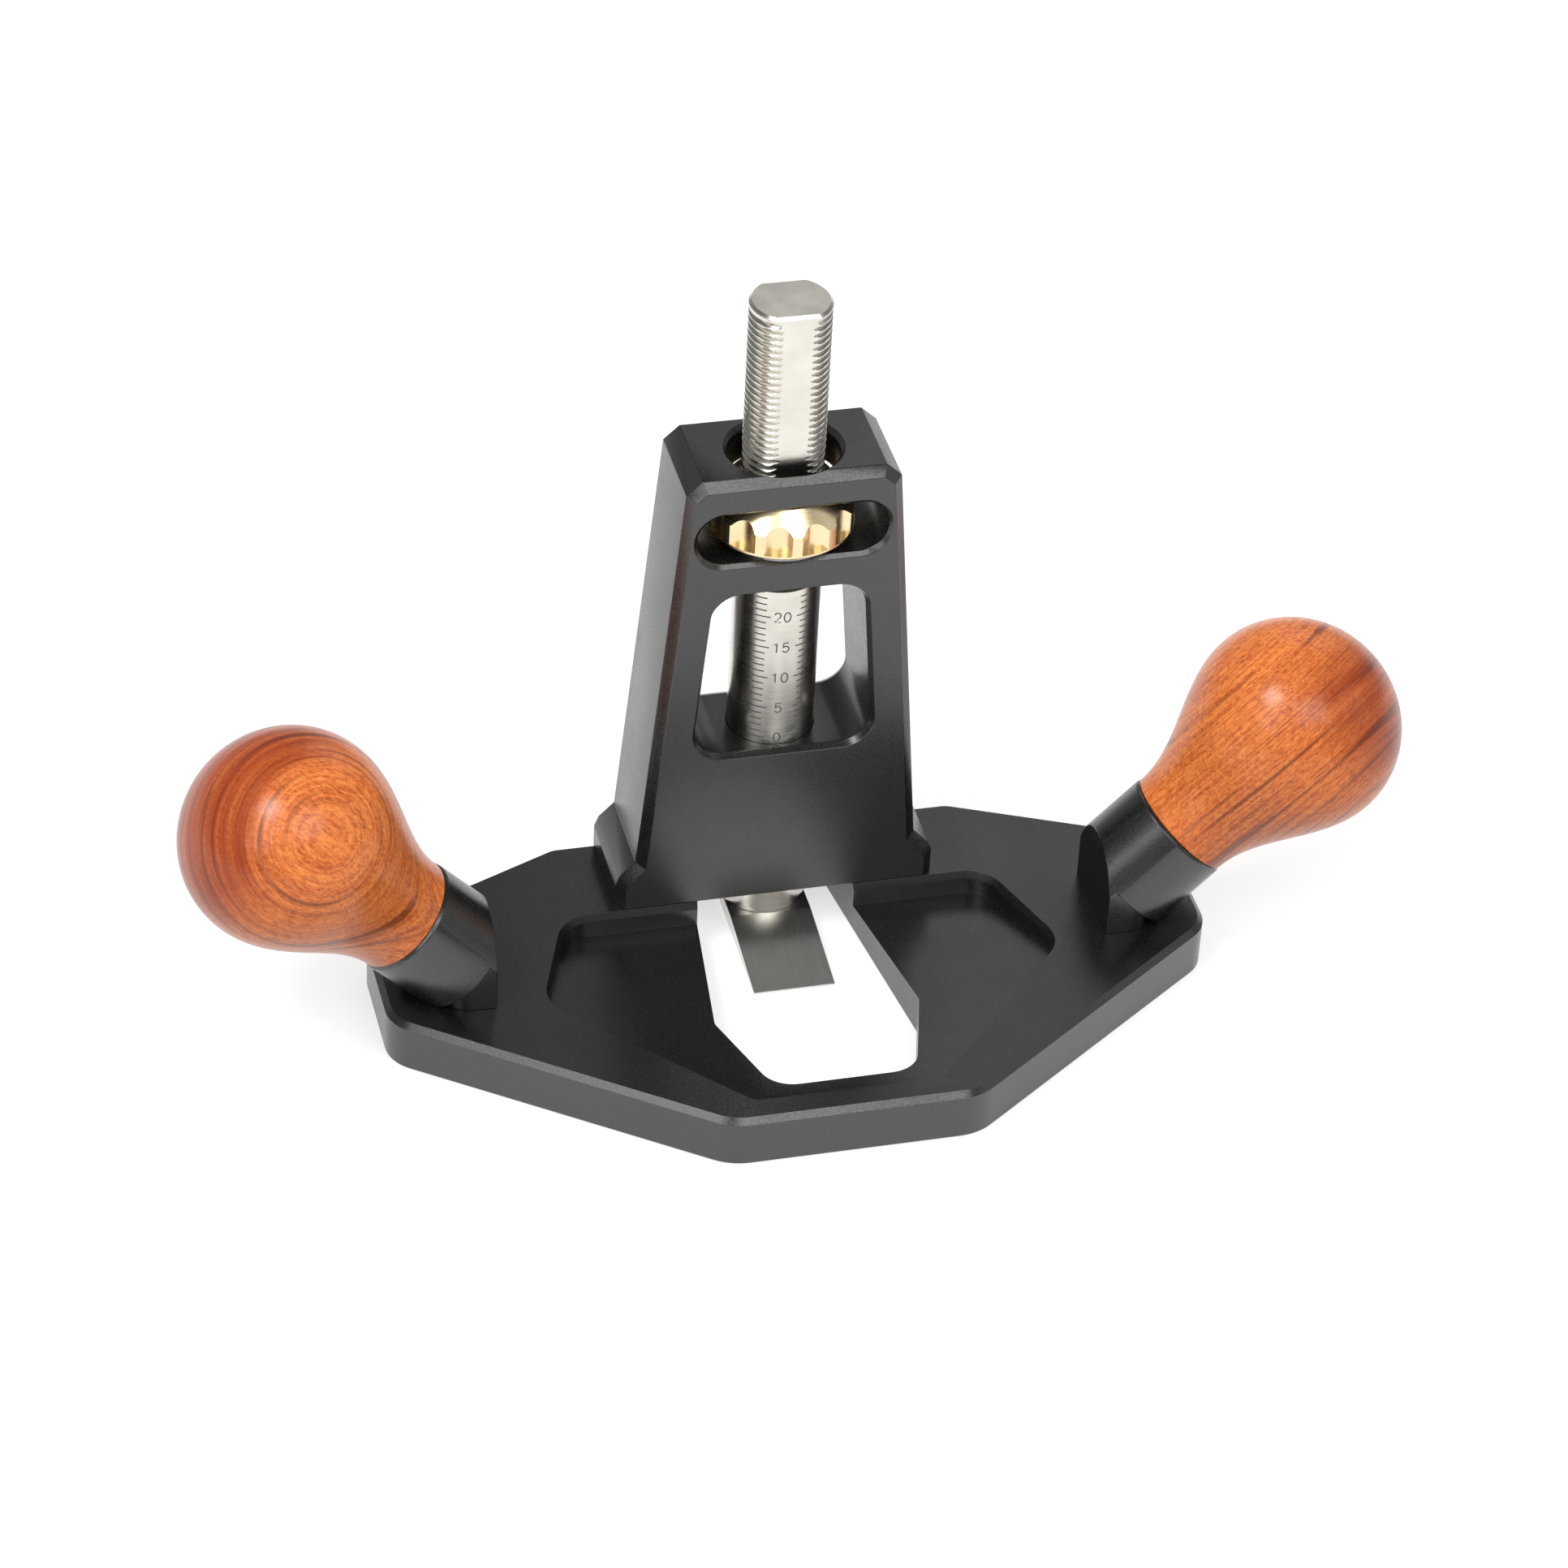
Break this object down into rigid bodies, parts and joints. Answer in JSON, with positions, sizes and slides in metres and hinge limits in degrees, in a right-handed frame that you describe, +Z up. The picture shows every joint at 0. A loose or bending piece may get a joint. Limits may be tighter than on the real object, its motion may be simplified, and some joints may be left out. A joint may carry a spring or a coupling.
{
  "type": "hand router plane",
  "caption": "Hand router plane with a winged base, a tapered tower, a threaded depth post raised by a captured brass nut, a flat cutter and angled wooden knobs.",
  "frame": {"origin": "middle of the footprint's box, on the sole", "axes": "+X to the right-hand knob, -Y to the front, where the mouth and the cutting edge are, +Z up along the depth post"},
  "size_m": [0.1688, 0.0644, 0.0994],
  "materials": {
    "black_aluminium": "black anodised, fine satin",
    "post_steel": "bright, nickel plated",
    "blade_steel": "ground",
    "screw_steel": "satin",
    "brass": "polished",
    "knob_wood": "oiled and polished, red-brown with dark streaks"
  },
  "bodies": {
    "frame": {"base_plate": "black_aluminium", "tower": "black_aluminium", "tower_screws": "screw_steel", "tower_dowels": "screw_steel", "nut_washer": "screw_steel", "left_handle_socket": "black_aluminium", "right_handle_socket": "black_aluminium", "left_socket_screws": "screw_steel", "right_socket_screws": "screw_steel", "left_knob_stud": "screw_steel", "right_knob_stud": "screw_steel", "left_knob_insert": "brass", "right_knob_insert": "brass", "left_knob": "knob_wood", "right_knob": "knob_wood"},
    "nut": {"adjuster_nut": "brass"},
    "post": {"depth_post": "post_steel", "cutter_blade": "blade_steel", "blade_screw": "screw_steel", "blade_dowel": "screw_steel"}
  },
  "joints": [
    {"name": "nut_turn", "type": "hinge", "parent": "frame", "child": "nut", "pos_m": [0, 0.0222, 0.0681], "axis": [0, 0, 1], "range_deg": [-370, 7930]},
    {"name": "post_slide", "type": "slide", "parent": "frame", "child": "post", "axis": [0, 0, 1], "range_m": [-0.022, 0.001]}
  ],
  "couplings": [
    {"joint": "nut_turn", "follows": "post_slide", "rad_per_m": -6283.2}
  ]
}
